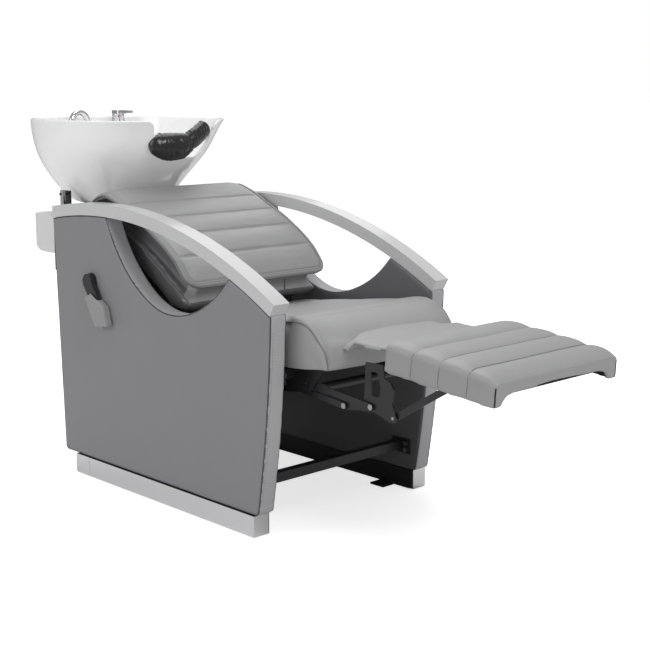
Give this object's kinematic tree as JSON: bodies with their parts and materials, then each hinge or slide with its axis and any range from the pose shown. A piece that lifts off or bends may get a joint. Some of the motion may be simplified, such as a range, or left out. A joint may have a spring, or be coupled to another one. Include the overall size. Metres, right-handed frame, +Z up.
{
  "type": "shampoo backwash unit",
  "caption": "Salon backwash chair with upholstered side panels, a fold-out leg rest, a reclining back and a tilting ceramic basin on posts behind it.",
  "frame": {"origin": "on the floor, midway between the four floor fixing holes and on the middle plane", "axes": "+Z up, +Y from the leg rest towards the basin (the sitter faces -Y), +X towards the sitter's left"},
  "size_m": [0.6475, 1.9328, 1.026],
  "materials": {
    "black_steel": "satin",
    "zinc": "satin",
    "chrome": "polished",
    "trim": "polished",
    "pad_rubber": "matte",
    "wood": "matte",
    "dark_board": "matte",
    "panel_vinyl": "satin",
    "lining_vinyl": "satin",
    "band_vinyl": "satin",
    "arm_satin": "satin",
    "cushion_vinyl": "satin",
    "lower_back_vinyl": "satin",
    "sleeve_vinyl": "satin",
    "ceramic": "gloss",
    "white_shell": "satin",
    "black_plastic": "satin",
    "neck_gel": "gloss",
    "hose": "matte",
    "brass": "satin"
  },
  "bodies": {
    "frame": {"plinth_tubes": "black_steel", "plinth_trims": "trim", "foot_pads": "pad_rubber", "floor_lugs": "black_steel", "crossbars": "black_steel", "seat_crossbars": "black_steel", "frame_bolts": "zinc", "panel_cores": "wood", "panel_skins": "panel_vinyl", "panel_linings": "lining_vinyl", "panel_edge_bands": "band_vinyl", "armrests": "arm_satin", "armrest_screws": "zinc", "seat_frame": "black_steel", "seat_board": "dark_board", "seat_cushion": "cushion_vinyl", "mechanism_plates": "black_steel", "frame_rivets": "zinc", "lever_bezel": "black_plastic", "back_brackets": "black_steel", "rear_frame": "black_steel", "rear_housing": "white_shell", "rear_column": "white_shell", "valve_bracket": "zinc", "supply_valves": "brass", "supply_hoses": "hose", "waste_hose": "hose", "bowl_posts": "chrome"},
    "drive_link": {"drive_links": "black_steel", "torque_tube": "black_steel", "elbow_rivets": "zinc"},
    "control_link": {"control_links": "black_steel", "control_rivets": "zinc"},
    "saddle": {"saddle_plates": "black_steel", "saddle_rivets": "zinc"},
    "lift_link": {"lift_links": "black_steel", "lift_rivets": "zinc"},
    "leg_rest": {"leg_brackets": "black_steel", "leg_board": "dark_board", "leg_board_bolts": "zinc", "leg_pad": "cushion_vinyl"},
    "flap": {"leg_flap": "cushion_vinyl"},
    "release_lever": {"lever_shaft": "zinc", "lever_arm": "black_plastic", "lever_sleeve": "sleeve_vinyl"},
    "backrest": {"back_cushion": "lower_back_vinyl", "back_board": "wood", "back_pad": "cushion_vinyl", "back_hinge_arms": "black_steel"},
    "bowl_body": {"bowl": "ceramic", "drain_flange": "chrome", "drain_tail": "white_shell", "tilt_cradle": "black_steel", "tap_body": "chrome", "shower_holder": "chrome"},
    "strainer_body": {"strainer": "chrome"},
    "neck_rest_body": {"neck_rest": "neck_gel"},
    "tap_cartridge_body": {"tap_cartridge": "chrome"},
    "tap_lever_body": {"tap_lever": "chrome"},
    "hand_shower": {"shower_head": "chrome"}
  },
  "joints": [
    {"name": "leg_drive", "type": "hinge", "parent": "frame", "child": "drive_link", "pos_m": [0, -0.47, 0.388], "axis": [1, 0, 0], "range_deg": [0, 155]},
    {"name": "control_pivot", "type": "hinge", "parent": "frame", "child": "control_link", "pos_m": [0, -0.381, 0.3755], "axis": [1, 0, 0], "range_deg": [-0.5, 155.5]},
    {"name": "saddle_pivot", "type": "hinge", "parent": "drive_link", "child": "saddle", "pos_m": [0, -0.684, 0.366], "axis": [1, 0, 0], "range_deg": [-155.5, 0.5]},
    {"name": "lift_pivot", "type": "hinge", "parent": "saddle", "child": "lift_link", "pos_m": [0, -0.75, 0.35], "axis": [1, 0, 0], "range_deg": [-0.5, 53.3]},
    {"name": "leg_rest_tilt", "type": "hinge", "parent": "lift_link", "child": "leg_rest", "pos_m": [0, -0.925, 0.455], "axis": [1, 0, 0], "range_deg": [-0.5, 34.7]},
    {"name": "flap_fold", "type": "hinge", "parent": "frame", "child": "flap", "pos_m": [0, -0.592, 0.497], "axis": [1, 0, 0], "range_deg": [-0.5, 90.5]},
    {"name": "lever_swing", "type": "hinge", "parent": "frame", "child": "release_lever", "pos_m": [-0.31, 0.287, 0.57], "axis": [1, 0, 0], "range_deg": [-40, 0]},
    {"name": "back_recline", "type": "hinge", "parent": "frame", "child": "backrest", "pos_m": [0, 0.046, 0.44], "axis": [1, 0, 0], "range_deg": [0, 12]},
    {"name": "bowl_tilt", "type": "hinge", "parent": "frame", "child": "bowl_body", "pos_m": [0, 0.6, 0.785], "axis": [1, 0, 0], "range_deg": [-12, 3]},
    {"name": "neck_rest_lift_off", "type": "slide", "parent": "bowl_body", "child": "neck_rest_body", "axis": [0, 0, 1], "range_m": [0, 0.12]},
    {"name": "strainer_lift_off", "type": "slide", "parent": "bowl_body", "child": "strainer_body", "axis": [0, 0, 1], "range_m": [0, 0.15]},
    {"name": "hand_shower_lift_off", "type": "slide", "parent": "bowl_body", "child": "hand_shower", "axis": [0, 0, 1], "range_m": [0, 0.2]},
    {"name": "tap_turn", "type": "hinge", "parent": "bowl_body", "child": "tap_cartridge_body", "pos_m": [0.125, 0.768, 1], "axis": [0, 0, 1], "range_deg": [-50, 50]},
    {"name": "tap_lift", "type": "hinge", "parent": "tap_cartridge_body", "child": "tap_lever_body", "pos_m": [0.125, 0.782, 1.014], "axis": [1, 0, 0], "range_deg": [-22, 0]}
  ],
  "couplings": [
    {"joint": "control_pivot", "follows": "leg_drive", "ratio": 1},
    {"joint": "saddle_pivot", "follows": "leg_drive", "ratio": -1},
    {"joint": "lift_pivot", "follows": "leg_drive", "ratio": 0.34064},
    {"joint": "leg_rest_tilt", "follows": "leg_drive", "ratio": 0.22065},
    {"joint": "flap_fold", "follows": "leg_drive", "ratio": 0.58064}
  ]
}
